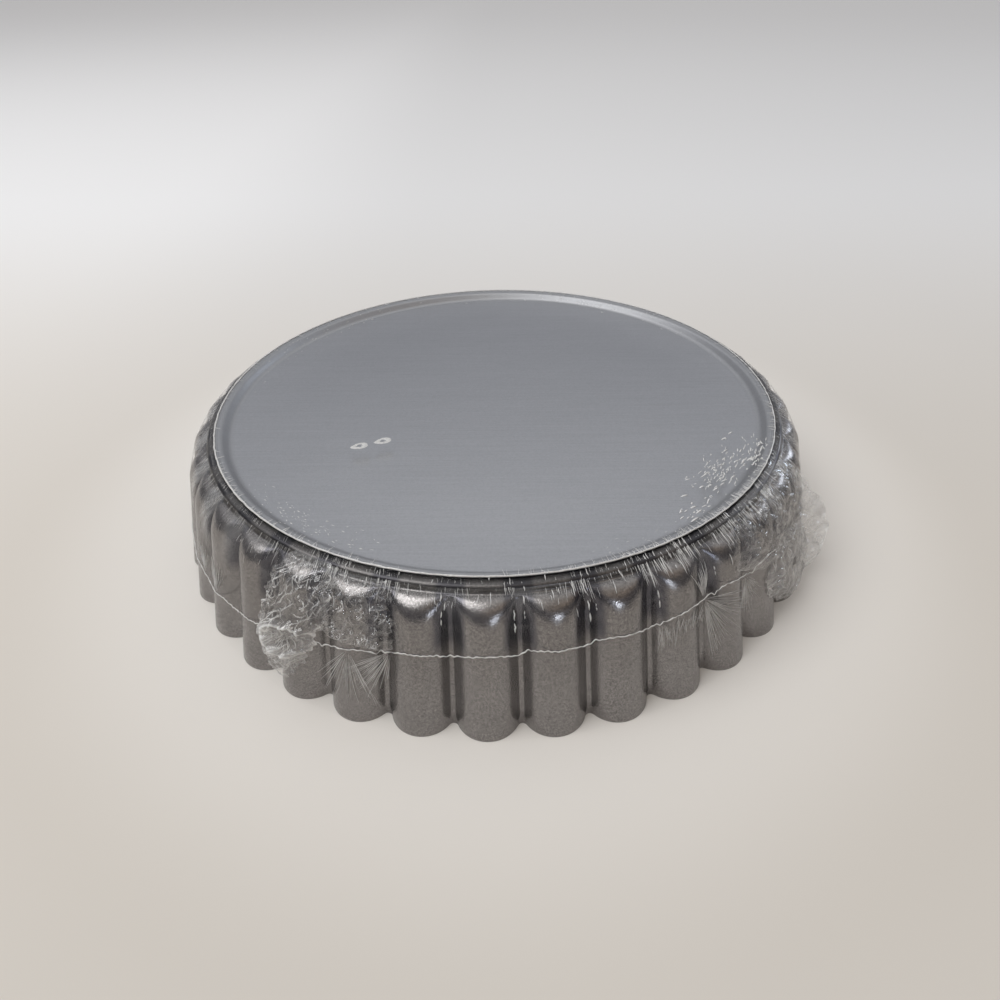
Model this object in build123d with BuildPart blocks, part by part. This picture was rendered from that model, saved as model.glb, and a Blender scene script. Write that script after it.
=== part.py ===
from math import asin, atan2, cos, hypot, pi, sin, tan
import os

from build123d import *

# Fluted quiche tin with a loose base, standing upside down on its scalloped mouth.
# Millimetres. The origin is on the axis, in the plane of the mouth, with +Z up.

# Fluted wall
flute_count = 36
mouth_radius = 125.0
flute_depth = 6.3
valley_round = 1.5
wall_flare = 12.5  # degrees from upright
wall_height = 37.2
ring_sheet = 0.8

# Domed shoulders, which close each flute in towards the neck
dome_reach = 7.4
dome_height = 8.0

# Neck and ledge, which are plain and round
neck_foot_radius = 0.8
neck_side = 0.2
neck_corner_radius = 1.6

# Loose base, a pressed disc with a dropped middle
base_sheet = 0.6
base_gap = 2.4
lip_width = 0.8
lip_rise = 0.5
seat_width = 1.3
step_width = 2.1
step_depth = 2.8
floor_bend = 1.6
seat_bend = 0.8
lip_bend = 0.8
hole_clearance = 0.5

# Worked out from the sizes above. A flute's arc touches the valley's arc, which sets its radius.
half_pitch = pi / flute_count
valley_radius = mouth_radius - flute_depth
valley_centre = valley_radius + valley_round
flute_radius = (
    valley_centre**2
    + mouth_radius**2
    - 2 * valley_centre * mouth_radius * cos(half_pitch)
    - valley_round**2
) / (2 * (mouth_radius - valley_centre * cos(half_pitch) + valley_round))
flute_centre = mouth_radius - flute_radius
narrowing = tan(wall_flare * pi / 180) / mouth_radius
dome_foot_radius = mouth_radius * (1 - narrowing * wall_height) - dome_reach
dome_lean = tan(wall_flare * pi / 180) * dome_height / dome_reach
dome_start = asin(dome_lean / (1 - dome_lean))
neck_radius = dome_foot_radius - neck_foot_radius
neck_foot_height = wall_height + dome_height
ring_height = neck_foot_height + neck_foot_radius + neck_side + neck_corner_radius
base_radius = neck_radius - ring_sheet - base_gap
lip_radius = base_radius - lip_width
step_radius = lip_radius - seat_width
floor_radius = step_radius - step_width
hole_radius = step_radius + hole_clearance

# Each dome bends from dome_start, where it runs on from the wall's slope, to a quarter turn at
# the neck. It is drawn at these parts of that bend.
dome_shares = (0, 0.3, 0.6, 0.85, 1)


def flute_points(height, inset):
    """Radius and angle of a flute's crest, of its tangent point and of the valley beside it."""
    scale = 1 - narrowing * height
    turn = atan2(valley_centre * sin(half_pitch), valley_centre * cos(half_pitch) - flute_centre)
    reach = flute_radius * scale - inset
    x = flute_centre * scale + reach * cos(turn)
    y = reach * sin(turn)
    crest = (mouth_radius * scale - inset, 0)
    tangent = (hypot(x, y), atan2(y, x))
    valley = (valley_radius * scale - inset, half_pitch)
    return crest, tangent, valley


def fluted_section(height, flutes_height, swell, inset):
    """A level outline: the wall's flutes at flutes_height, swelling out of the neck's foot."""
    crest, tangent, valley = flute_points(flutes_height, inset)

    def place(point, angle):
        radius = dome_foot_radius + (point[0] - dome_foot_radius) * swell
        return (radius * cos(angle), radius * sin(angle))

    with BuildSketch(Plane.XY.offset(height)) as section:
        with BuildLine():
            for flute in range(flute_count):
                middle = 2 * half_pitch * flute
                start = place(tangent, middle - tangent[1])
                end = place(tangent, middle + tangent[1])
                following = place(tangent, middle + 2 * half_pitch - tangent[1])
                ThreePointArc(start, place(crest, middle), end)
                ThreePointArc(end, place(valley, middle + half_pitch), following)
        make_face()
    return section.sketch


def dome_section(share, inset):
    """The outline of the domes at a share of their bend."""
    turn = dome_start + share * (pi / 2 - dome_start)
    rise = (sin(turn) - sin(dome_start)) / (1 - sin(dome_start))
    return fluted_section(
        wall_height + (dome_height - inset) * rise, wall_height, cos(turn) / cos(dome_start), inset
    )


def neck_profile(inset):
    """Half section of the neck, with a hollow foot and a round corner."""
    top = ring_height - inset
    side = neck_radius - inset
    foot = neck_foot_radius + inset
    corner = neck_corner_radius - inset
    low = neck_foot_height - inset
    with BuildSketch(Plane.XZ) as profile:
        with BuildLine():
            Line((0, low), (dome_foot_radius, low))
            RadiusArc((dome_foot_radius, low), (side, low + foot), foot)
            Line((side, low + foot), (side, top - corner))
            RadiusArc((side, top - corner), (side - corner, top), -corner)
            Polyline((side - corner, top), (0, top), (0, low))
        make_face()
    return profile.sketch


def fluted_form(inset):
    """The solid that the sheet wraps: fluted wall, domed shoulders and round neck."""
    with BuildPart() as form:
        loft(
            [
                fluted_section(0, 0, 1, inset),
                fluted_section(wall_height, wall_height, 1, inset),
            ],
            ruled=True,
        )
        loft([dome_section(share, inset) for share in dome_shares])
        revolve(neck_profile(inset), axis=Axis.Z)
    return form.part


# Ring: one sheet pressed into the fluted wall, the shoulders, the neck and the ledge
with BuildPart() as fluted_ring:
    add(fluted_form(0))
    add(fluted_form(ring_sheet), mode=Mode.SUBTRACT)
    with BuildSketch(Plane.XY.offset(ring_height)):
        Circle(hole_radius)
    extrude(amount=-ring_height, mode=Mode.SUBTRACT)

# Loose base: the seat lies on the ledge and the dropped middle hangs in the hole
with BuildPart() as loose_base:
    with BuildSketch(Plane.XZ):
        with BuildLine():
            FilletPolyline(
                (0, ring_height - step_depth),
                (floor_radius, ring_height - step_depth),
                (step_radius, ring_height),
                (lip_radius, ring_height),
                (base_radius, ring_height + lip_rise),
                radius=(floor_bend, seat_bend, lip_bend),
            )
            offset(amount=base_sheet, side=Side.LEFT)
        make_face()
    revolve(axis=Axis.Z)

fluted_ring.part.label = "fluted_ring"
loose_base.part.label = "loose_base"

os.makedirs("parts", exist_ok=True)
for piece in (fluted_ring, loose_base):
    export_step(piece.part, f"parts/{piece.part.label}.step")

print(f"flute radius {flute_radius:.2f} mm, neck radius {neck_radius:.2f} mm, height {ring_height:.2f} mm")
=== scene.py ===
from math import acos, asin, atan2, cos, hypot, pi, radians, sin, tan

import bmesh
import bpy
import numpy as np
from bpy.props import FloatProperty, FloatVectorProperty, IntProperty, PointerProperty
from mathutils import Matrix, Vector


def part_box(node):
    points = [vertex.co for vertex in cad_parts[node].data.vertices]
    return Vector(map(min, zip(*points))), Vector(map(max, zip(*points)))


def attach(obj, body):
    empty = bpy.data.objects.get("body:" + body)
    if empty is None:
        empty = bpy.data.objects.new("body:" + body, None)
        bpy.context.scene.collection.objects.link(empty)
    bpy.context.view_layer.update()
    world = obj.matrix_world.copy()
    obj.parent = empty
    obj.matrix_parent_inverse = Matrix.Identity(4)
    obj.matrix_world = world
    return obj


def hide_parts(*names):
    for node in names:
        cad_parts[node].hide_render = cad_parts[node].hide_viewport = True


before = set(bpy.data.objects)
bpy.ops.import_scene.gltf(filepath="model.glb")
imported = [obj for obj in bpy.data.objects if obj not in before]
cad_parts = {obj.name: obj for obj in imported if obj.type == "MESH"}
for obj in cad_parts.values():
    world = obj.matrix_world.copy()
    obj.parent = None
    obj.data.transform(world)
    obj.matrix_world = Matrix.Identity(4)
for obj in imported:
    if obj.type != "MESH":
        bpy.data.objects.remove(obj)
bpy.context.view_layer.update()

# Fluted quiche tin with a loose base, upside down on a pale floor in clear shrink film.
# Metres. The origin is on the tin's axis, in the plane of its mouth, with +Z up.

bl_info = {
    "name": "Fluted quiche tin",
    "version": (1, 0, 0),
    "blender": (4, 5, 0),
    "location": "3D View > Sidebar > Quiche tin",
    "description": "Makes a loose-base quiche tin, its clear shrink film and a plain stage",
    "category": "Object",
}

RING_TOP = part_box("fluted_ring")[1].z
MOUTH_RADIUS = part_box("fluted_ring")[1].x
BASE_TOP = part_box("loose_base")[1].z
BASE_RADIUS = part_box("loose_base")[1].x

FLUTES = 36
PITCH = 360 / FLUTES  # degrees from crest to crest
FRONT = 2.274         # degrees from the crest on -Y to the side that faces the camera
WELD = 1e-5           # copies whose points lie closer than this are joined


# Properties

class TinSizes(bpy.types.PropertyGroup):
    """Sizes of the fluted ring."""

    flute_count: IntProperty(
        name="Flutes", description="Flutes round the wall",
        default=FLUTES, min=8)
    mouth_radius: FloatProperty(
        name="Mouth radius", description="From the axis to a flute's crest at the mouth",
        default=MOUTH_RADIUS, unit="LENGTH")
    flute_depth: FloatProperty(
        name="Flute depth", description="From crest to valley at the mouth",
        default=0.0063, unit="LENGTH")
    valley_round: FloatProperty(
        name="Valley radius", description="Radius of the bend between two flutes",
        default=0.0015, unit="LENGTH")
    wall_flare: FloatProperty(
        name="Flare", description="Slope of the wall from upright",
        default=radians(12.5), subtype="ANGLE")
    wall_height: FloatProperty(
        name="Wall height", description="From the mouth to the domes",
        default=0.0372, unit="LENGTH")
    sheet: FloatProperty(
        name="Sheet", description="Thickness of the sheet",
        default=0.0008, unit="LENGTH")
    dome_reach: FloatProperty(
        name="Dome reach", description="How far each dome comes in", default=0.0074, unit="LENGTH")
    dome_height: FloatProperty(
        name="Dome height", description="How far each dome goes up", default=0.008, unit="LENGTH")
    neck_foot: FloatProperty(
        name="Neck foot", description="Radius of the hollow at the neck's foot",
        default=0.0008, unit="LENGTH")
    neck_corner: FloatProperty(
        name="Neck corner", description="Radius of the neck's round corner",
        default=0.0016, unit="LENGTH")
    top: FloatProperty(
        name="Height", description="From the mouth to the ledge",
        default=RING_TOP, unit="LENGTH")
    hole_radius: FloatProperty(
        name="Hole radius", description="Radius of the hole for the loose base",
        default=0.103753, unit="LENGTH")
    edge_round: FloatProperty(
        name="Edge", description="Rounding of the cut edges", default=0.00012, unit="LENGTH")


class BaseSizes(bpy.types.PropertyGroup):
    """Sizes of the loose base."""

    radius: FloatProperty(
        name="Radius", description="Outer edge",
        default=BASE_RADIUS, unit="LENGTH")
    sheet: FloatProperty(
        name="Sheet", description="Thickness of the sheet",
        default=0.0006, unit="LENGTH")
    lip_width: FloatProperty(
        name="Lip", description="Width of the raised lip",
        default=0.0008, unit="LENGTH")
    lip_rise: FloatProperty(
        name="Lip rise", description="How far the lip lifts",
        default=0.0005, unit="LENGTH")
    seat_width: FloatProperty(
        name="Seat", description="Width of the band that lies on the ledge",
        default=0.0013, unit="LENGTH")
    step_width: FloatProperty(
        name="Step", description="Width of the step",
        default=0.0021, unit="LENGTH")
    step_depth: FloatProperty(
        name="Drop", description="How far the middle is dropped", default=0.0028, unit="LENGTH")


class FilmSizes(bpy.types.PropertyGroup):
    """Sizes of the clear shrink film."""

    gap: FloatProperty(
        name="Gap", description="From the film to what it lies on", default=0.00012, unit="LENGTH")
    gathers: IntProperty(
        name="Gathers", description="Fine folds round the rim and the domes", default=1350, min=0)
    fan_folds: IntProperty(
        name="Fan folds", description="Folds in each fan by the seam", default=34, min=0)
    specks: IntProperty(
        name="Specks", description="Short folds in each patch on the base", default=120, min=0)
    seam: FloatProperty(
        name="Seam", description="Radius of the melted seam", default=0.00015, unit="LENGTH")
    vent_length: FloatProperty(
        name="Vent", description="Length of a vent's melted rim", default=0.0062, unit="LENGTH")
    vent_width: FloatProperty(
        name="Vent width", description="Width of a vent's melted rim",
        default=0.0037, unit="LENGTH")


class Finishes(bpy.types.PropertyGroup):
    """Colours of the object's materials."""

    coating: FloatVectorProperty(
        name="Coating", description="Dark non-stick coating of the ring", subtype="COLOR",
        size=3, default=(0.25, 0.238, 0.234), min=0, max=1)
    steel: FloatVectorProperty(
        name="Steel", description="Bare steel of the base", subtype="COLOR",
        size=3, default=(0.46, 0.465, 0.48), min=0, max=1)


class StageSettings(bpy.types.PropertyGroup):
    """Camera, floor and lights."""

    lens: FloatProperty(name="Lens", description="Focal length in millimetres", default=26.188)
    distance: FloatProperty(
        name="Distance", description="From the camera to the middle of the mouth",
        default=0.31552, unit="LENGTH")
    elevation: FloatProperty(
        name="Elevation", description="Camera's height angle",
        default=radians(36.627), subtype="ANGLE")
    azimuth: FloatProperty(
        name="Azimuth", description="Camera's angle round the tin from -Y towards +X",
        default=radians(FRONT), subtype="ANGLE")
    tilt: FloatVectorProperty(
        name="Tilt", description="Turn of the camera about its own right, up and back axes",
        subtype="EULER", size=3, default=(0.01225, 0.00417, 0.03007))
    floor: FloatVectorProperty(
        name="Floor", description="Colour of the floor", subtype="COLOR",
        size=3, default=(0.65, 0.611, 0.555), min=0, max=1)
    # Painted light: a paler floor behind the tin stands in for more light there.
    floor_back_lit: FloatVectorProperty(
        name="Floor at the back", description="Colour of the floor behind the tin", subtype="COLOR",
        size=3, default=(0.82, 0.825, 0.83), min=0, max=1)
    softbox: FloatProperty(name="Softbox", description="Power of the lamp overhead", default=33.0)
    window: FloatProperty(
        name="Window", description="Power of the small lamp in front",
        default=2.4)
    side_window: FloatProperty(
        name="Side window", description="Power of the lamp low on the right", default=5.0)
    sky: FloatProperty(name="Sky", description="Strength of the light from all round", default=1.0)


# Node trees

class Wiring:
    """Adds nodes to a tree and joins them up."""

    def __init__(self, tree):
        self.tree = tree

    def add(self, kind, inputs=(), **settings):
        """A node with its settings and inputs. An input is a value or another node's output."""
        node = self.tree.nodes.new(kind)
        for name, value in settings.items():
            setattr(node, name, value)
        for key, value in dict(inputs).items():
            if isinstance(value, bpy.types.NodeSocket):
                self.tree.links.new(value, node.inputs[key])
            else:
                node.inputs[key].default_value = value
        return node

    def math(self, operation, first, second=0.0, third=0.0):
        """The result of one sum."""
        node = self.add("ShaderNodeMath", {0: first, 1: second, 2: third}, operation=operation)
        return node.outputs[0]

    def smooth(self, value, low, high, most=1.0):
        """A share that runs smoothly from 0 to most as a value goes from low to high."""
        node = self.add(
            "ShaderNodeMapRange",
            {"Value": value, "From Min": low, "From Max": high, "To Max": most},
            interpolation_type="SMOOTHSTEP")
        return node.outputs["Result"]

    def ramp(self, factor, stops):
        """A colour ramp of (place, grey or colour) stops."""
        node = self.add("ShaderNodeValToRGB", {"Fac": factor})
        ramp = node.color_ramp
        while len(ramp.elements) < len(stops):
            ramp.elements.new(0.5)
        for element, (place, shade) in zip(ramp.elements, stops):
            element.position = place
            element.color = (shade, shade, shade, 1) if isinstance(shade, float) else (*shade, 1)
        return node.outputs["Color"]

    def noise(self, vector, scale, detail=2.0, roughness=0.5, output="Fac"):
        """Soft noise of a given scale, in bumps to the metre."""
        node = self.add(
            "ShaderNodeTexNoise",
            {"Vector": vector, "Scale": scale, "Detail": detail, "Roughness": roughness})
        return node.outputs[output]

    def stretched(self, vector, scale):
        """Coordinates stretched by a scale along each axis."""
        return self.add("ShaderNodeMapping", {"Vector": vector, "Scale": scale}).outputs["Vector"]

    def between(self, factor, first, second):
        """A colour between two colours."""
        node = self.add("ShaderNodeMix", {0: factor}, data_type="RGBA")
        for socket, value in ((node.inputs[6], first), (node.inputs[7], second)):
            if isinstance(value, bpy.types.NodeSocket):
                self.tree.links.new(value, socket)
            else:
                socket.default_value = (*value, 1)
        return node.outputs[2]


def new_material(name):
    """An empty material and its wiring."""
    material = bpy.data.materials.new(name)
    material.use_nodes = True
    material.use_transparent_shadow = True
    material.node_tree.nodes.clear()
    return material, Wiring(material.node_tree)


def shaded(colour, share):
    """A colour made darker or paler by a share of itself."""
    return tuple(share * c for c in colour)


def close_material(material, wiring, shader):
    """Joins a shader to the material's output."""
    wiring.add("ShaderNodeOutputMaterial", {"Surface": shader})
    return material


# Painted shade: a blue-black darkening beside the valleys, standing in for dark reflections.
VALLEY_SHADE_HEIGHTS = (0.026, 0.033)    # a blue-black tint beside the valleys begins and is full here
# Painted shade: the neck and ledge under the base's rim are darkened.
NECK_SHADE_HEIGHTS = (0.0448, 0.0458)  # the neck gets dark and dull here
# Painted shade: the base's step is darkened between these radii.
STEP_SHADE_RADII = (0.0985, 0.1012)    # the base's step gets dark and dull here


def coating_material(finishes):
    """Dark satin non-stick coating with a fine metallic speckle and painted shade by the valleys
    and neck.
    """
    material, w = new_material("non_stick_coating")
    place = w.add("ShaderNodeTexCoord").outputs["Object"]
    cloud = w.noise(place, 55.0, 3.0, 0.6)
    grain = w.noise(place, 2600.0, 2.0, 0.7)
    flecks = w.ramp(w.noise(place, 1500.0, 3.0, 0.75), [(0.0, 0.0), (0.58, 0.0), (0.74, 1.0)])
    coating = finishes.coating
    colour = w.between(cloud, shaded(coating, 0.78), shaded(coating, 1.22))
    colour = w.between(w.math("MULTIPLY", flecks, 0.5), colour, shaded(coating, 2.6))
    peel = w.noise(place, 1600.0, 2.0, 0.6)
    mottle = w.ramp(peel, [(0.0, 0.0), (0.33, 0.0), (0.67, 1.0), (1.0, 1.0)])
    colour = w.between(
        0.45, colour, w.between(mottle, shaded(coating, 0.5), shaded(coating, 1.65)))
    axes = w.add("ShaderNodeSeparateXYZ", {0: place}).outputs
    height = axes["Z"]
    turn = w.math("ARCTAN2", axes["Y"], axes["X"])
    wave = w.math("COSINE", w.math("MULTIPLY", turn, float(FLUTES)))
    flank = w.smooth(wave, 0.15, -0.55)
    upper = w.smooth(height, *VALLEY_SHADE_HEIGHTS, 0.72)
    neck = w.smooth(height, *NECK_SHADE_HEIGHTS)
    # Painted shade: blue-black beside each valley above the seam, in place of dark reflections.
    colour = w.between(w.math("MULTIPLY", flank, upper), colour, (0.04, 0.042, 0.062))
    # Painted shade: darken the neck and ledge under the base's rim.
    colour = w.between(w.math("MULTIPLY", neck, 0.6), colour, (0.02, 0.019, 0.018))
    rough = w.add(
        "ShaderNodeMapRange", {"Value": grain, "To Min": 0.15, "To Max": 0.31}).outputs["Result"]
    rough = w.math("MULTIPLY_ADD", neck, 0.12, rough)
    height = w.math("MULTIPLY_ADD", peel, 1.6, grain)
    bump = w.add("ShaderNodeBump", {"Height": height, "Strength": 0.3, "Distance": 0.00012})
    shader = w.add(
        "ShaderNodeBsdfPrincipled",
        {"Base Color": colour, "Roughness": rough, "Metallic": 0.8, "IOR": 1.55,
         "Normal": bump.outputs["Normal"]})
    return close_material(material, w, shader.outputs["BSDF"])


def steel_material(finishes):
    """Bare rolled steel with fine straight lines, and painted shade on the step."""
    material, w = new_material("bare_steel")
    place = w.add("ShaderNodeTexCoord").outputs["Object"]
    lines = w.noise(w.stretched(place, (25.0, 2000.0, 300.0)), 1.0, 3.0, 0.7)
    grit = w.noise(place, 1700.0, 2.0, 0.6)
    cloud = w.noise(place, 16.0, 2.0, 0.5)
    steel = finishes.steel
    mixed = w.math("MULTIPLY_ADD", grit, 0.5, w.math("MULTIPLY", lines, 0.5))
    colour = w.between(mixed, shaded(steel, 0.7), shaded(steel, 1.3))
    rough = w.math("MULTIPLY_ADD", lines, 0.1, w.math("MULTIPLY_ADD", cloud, 0.06, 0.24))
    flat = w.stretched(place, (1.0, 1.0, 0.0))
    radius = w.add("ShaderNodeVectorMath", {0: flat}, operation="LENGTH")
    # Painted shade: darken the base's step, and dull its finish.
    step_shade = w.smooth(radius.outputs["Value"], *STEP_SHADE_RADII, 0.3)
    rough = w.math("MULTIPLY_ADD", step_shade, 0.5, rough)
    colour = w.between(w.math("MULTIPLY", step_shade, 1.3), colour, shaded(steel, 0.6))
    bump = w.add("ShaderNodeBump", {"Height": lines, "Strength": 0.12, "Distance": 0.00006})
    shader = w.add(
        "ShaderNodeBsdfPrincipled",
        {"Base Color": colour, "Roughness": rough, "Metallic": 1.0,
         "Normal": bump.outputs["Normal"]})
    return close_material(material, w, shader.outputs["BSDF"])


def film_material(name, clear, shine, wrinkle=0.25, glow=0.2):
    """Clear film, white where its haze attribute says it is gathered.

    It mirrors the same from both sides, from a shine seen square on to all at a glance, and
    less where its tight attribute says it lies on the metal.
    """
    material, w = new_material(name)
    place = w.add("ShaderNodeTexCoord").outputs["Object"]
    soft = w.noise(place, 140.0, 2.0, 0.5)
    fine = w.noise(place, 1100.0, 3.0, 0.7)
    height = w.math("MULTIPLY_ADD", fine, 0.25, soft)
    bump = w.add(
        "ShaderNodeBump", {"Height": height, "Strength": wrinkle, "Distance": 0.0006}).outputs[0]
    gathered = w.add("ShaderNodeAttribute", attribute_name="haze").outputs["Fac"]
    gloss = w.add("ShaderNodeBsdfGlossy", {"Roughness": 0.09, "Normal": bump})
    through = w.add("ShaderNodeBsdfTransparent", {"Color": (*(clear,) * 3, 1)})
    facing = w.add("ShaderNodeLayerWeight", {"Blend": 0.5, "Normal": bump}).outputs["Facing"]
    mirror = w.math("MULTIPLY_ADD", w.math("POWER", facing, 4.0), 1 - shine, shine)
    tight = w.add("ShaderNodeAttribute", attribute_name="tight").outputs["Fac"]
    mirror = w.math("MULTIPLY", mirror, w.math("SUBTRACT", 1.0, tight))
    sheet = w.add("ShaderNodeMixShader", {0: mirror, 1: through.outputs[0], 2: gloss.outputs[0]})
    white = w.add(
        "ShaderNodeBsdfPrincipled",
        {"Base Color": (0.92, 0.92, 0.91, 1), "Roughness": 0.25, "Normal": bump})
    lit = w.add("ShaderNodeBsdfTranslucent", {"Color": (0.95, 0.94, 0.9, 1)})
    milky = w.add("ShaderNodeMixShader", {0: glow, 1: white.outputs[0], 2: lit.outputs[0]})
    share = w.add(
        "ShaderNodeMath", {0: gathered, 1: w.math("ADD", fine, 0.45)},
        operation="MULTIPLY", use_clamp=True)
    mixed = w.add(
        "ShaderNodeMixShader", {0: share.outputs[0], 1: sheet.outputs[0], 2: milky.outputs[0]})
    return close_material(material, w, mixed.outputs[0])


# Meshes

def mesh_from(name, points, faces, smooth=True):
    """A mesh object at the origin from points and faces."""
    mesh = bpy.data.meshes.new(name)
    mesh.from_pydata([tuple(p) for p in points], [], faces)
    mesh.update()
    if smooth:
        mesh.shade_smooth()
    piece = bpy.data.objects.new(name, mesh)
    bpy.context.scene.collection.objects.link(piece)
    return piece


def grid_faces(rows, columns, closed_rows=False):
    """Quads of a grid of points stored row by row."""
    faces = []
    for row in range(rows if closed_rows else rows - 1):
        above = (row + 1) % rows
        for column in range(columns - 1):
            faces.append((
                row * columns + column, row * columns + column + 1,
                above * columns + column + 1, above * columns + column))
    return faces


def open_tree(name, sizes):
    """A Geometry Nodes tree with a geometry, some sizes and a material as its named inputs."""
    tree = bpy.data.node_groups.new(name, "GeometryNodeTree")
    for label, kind in (("Geometry", "Geometry"), *sizes, ("Material", "Material")):
        tree.interface.new_socket(label, in_out="INPUT", socket_type="NodeSocket" + kind)
    tree.interface.new_socket("Geometry", in_out="OUTPUT", socket_type="NodeSocketGeometry")
    w = Wiring(tree)
    return tree, w, w.add("NodeGroupInput").outputs


def close_tree(w, geometry, material):
    """Ends a tree in smooth faces and its material."""
    smooth = w.add("GeometryNodeSetShadeSmooth", {"Geometry": geometry}).outputs[0]
    painted = w.add(
        "GeometryNodeSetMaterial", {"Geometry": smooth, "Material": material}).outputs[0]
    w.add("NodeGroupOutput", {"Geometry": painted})


def repeat_tree():
    """Geometry Nodes that repeat one segment round the Z axis and weld the joins."""
    name = "repeat_round_axis"
    if name in bpy.data.node_groups:
        return bpy.data.node_groups[name]
    tree, w, given = open_tree(name, (("Count", "Int"), ("Weld distance", "Float")))
    points = w.add("GeometryNodePoints", {"Count": given["Count"]}).outputs[0]
    share = w.math("DIVIDE", w.add("GeometryNodeInputIndex").outputs[0], given["Count"])
    turn = w.add("ShaderNodeCombineXYZ", {"Z": w.math("MULTIPLY", share, 2 * pi)}).outputs[0]
    rotation = w.add("FunctionNodeEulerToRotation", {"Euler": turn}).outputs[0]
    copies = w.add(
        "GeometryNodeInstanceOnPoints",
        {"Points": points, "Instance": given["Geometry"], "Rotation": rotation}).outputs[0]
    real = w.add("GeometryNodeRealizeInstances", {"Geometry": copies}).outputs[0]
    welded = w.add(
        "GeometryNodeMergeByDistance",
        {"Geometry": real, "Distance": given["Weld distance"]}).outputs[0]
    close_tree(w, welded, given["Material"])
    return tree


def fold_tree():
    """Geometry Nodes that draw each line of a mesh as a thin fold."""
    name = "folds_along_lines"
    if name in bpy.data.node_groups:
        return bpy.data.node_groups[name]
    tree, w, given = open_tree(name, (("Sides", "Int"), ("Thickness", "Float")))
    lines = w.add("GeometryNodeMeshToCurve", {"Mesh": given["Geometry"]}).outputs[0]
    width = w.add(
        "GeometryNodeInputNamedAttribute", {"Name": "width"}, data_type="FLOAT").outputs[0]
    section = w.add(
        "GeometryNodeCurvePrimitiveCircle",
        {"Resolution": given["Sides"], "Radius": given["Thickness"]})
    folds = w.add(
        "GeometryNodeCurveToMesh",
        {"Curve": lines, "Profile Curve": section.outputs[0], "Scale": width, "Fill Caps": True})
    real = w.add("GeometryNodeRealizeInstances", {"Geometry": folds.outputs[0]}).outputs[0]
    close_tree(w, real, given["Material"])
    return tree


def grown(segment, tree, values):
    """Runs a node tree on an object and keeps the result as its plain mesh."""
    modifier = segment.modifiers.new(tree.name, "NODES")
    modifier.node_group = tree
    sockets = {s.name: s.identifier for s in tree.interface.items_tree if s.in_out == "INPUT"}
    for name, value in values.items():
        modifier[sockets[name]] = value
    evaluated = segment.evaluated_get(bpy.context.evaluated_depsgraph_get())
    mesh = bpy.data.meshes.new_from_object(evaluated)
    segment.modifiers.remove(modifier)
    segment.data = mesh
    mesh.name = segment.name
    return segment


# Shape of the fluted wall, as the part's source has it

CREST_STEPS, VALLEY_STEPS = 9, 3  # facets of half a crest's arc and of half a valley's


def flute_outline(sizes, height, inset):
    """(x, y) round one flute from valley to valley, at a height and a depth into the sheet."""
    half_pitch = pi / sizes.flute_count
    valley_centre = sizes.mouth_radius - sizes.flute_depth + sizes.valley_round
    flute_radius = (
        valley_centre ** 2 + sizes.mouth_radius ** 2
        - 2 * valley_centre * sizes.mouth_radius * cos(half_pitch) - sizes.valley_round ** 2
    ) / (2 * (sizes.mouth_radius - valley_centre * cos(half_pitch) + sizes.valley_round))
    flute_centre = sizes.mouth_radius - flute_radius
    turn = atan2(valley_centre * sin(half_pitch), valley_centre * cos(half_pitch) - flute_centre)
    scale = 1 - tan(sizes.wall_flare) / sizes.mouth_radius * height
    half = []
    for step in range(CREST_STEPS + 1):
        angle = turn * step / CREST_STEPS
        reach = flute_radius * scale - inset
        half.append((flute_centre * scale + reach * cos(angle), reach * sin(angle)))
    for step in range(1, VALLEY_STEPS + 1):
        angle = turn + (half_pitch - turn) * step / VALLEY_STEPS
        reach = sizes.valley_round * scale + inset
        half.append((
            valley_centre * scale * cos(half_pitch) - reach * cos(angle),
            valley_centre * scale * sin(half_pitch) - reach * sin(angle)))
    return [(x, -y) for x, y in reversed(half[1:])] + half


def arc(centre, radius, start, end, steps):
    """(r, z) along an arc, without its first point."""
    return [
        (centre[0] + radius * cos(a), centre[1] + radius * sin(a))
        for a in (start + (end - start) * step / steps for step in range(1, steps + 1))]


def dome_bend(sizes):
    """A dome's bend as part of an ellipse: its reaches, its middle's height, its first angle."""
    lean = tan(sizes.wall_flare) * sizes.dome_height / sizes.dome_reach
    start = asin(lean / (1 - lean))
    tall = sizes.dome_height / (1 - sin(start))
    return sizes.dome_reach / cos(start), tall, sizes.wall_height - tall * sin(start), start


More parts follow.
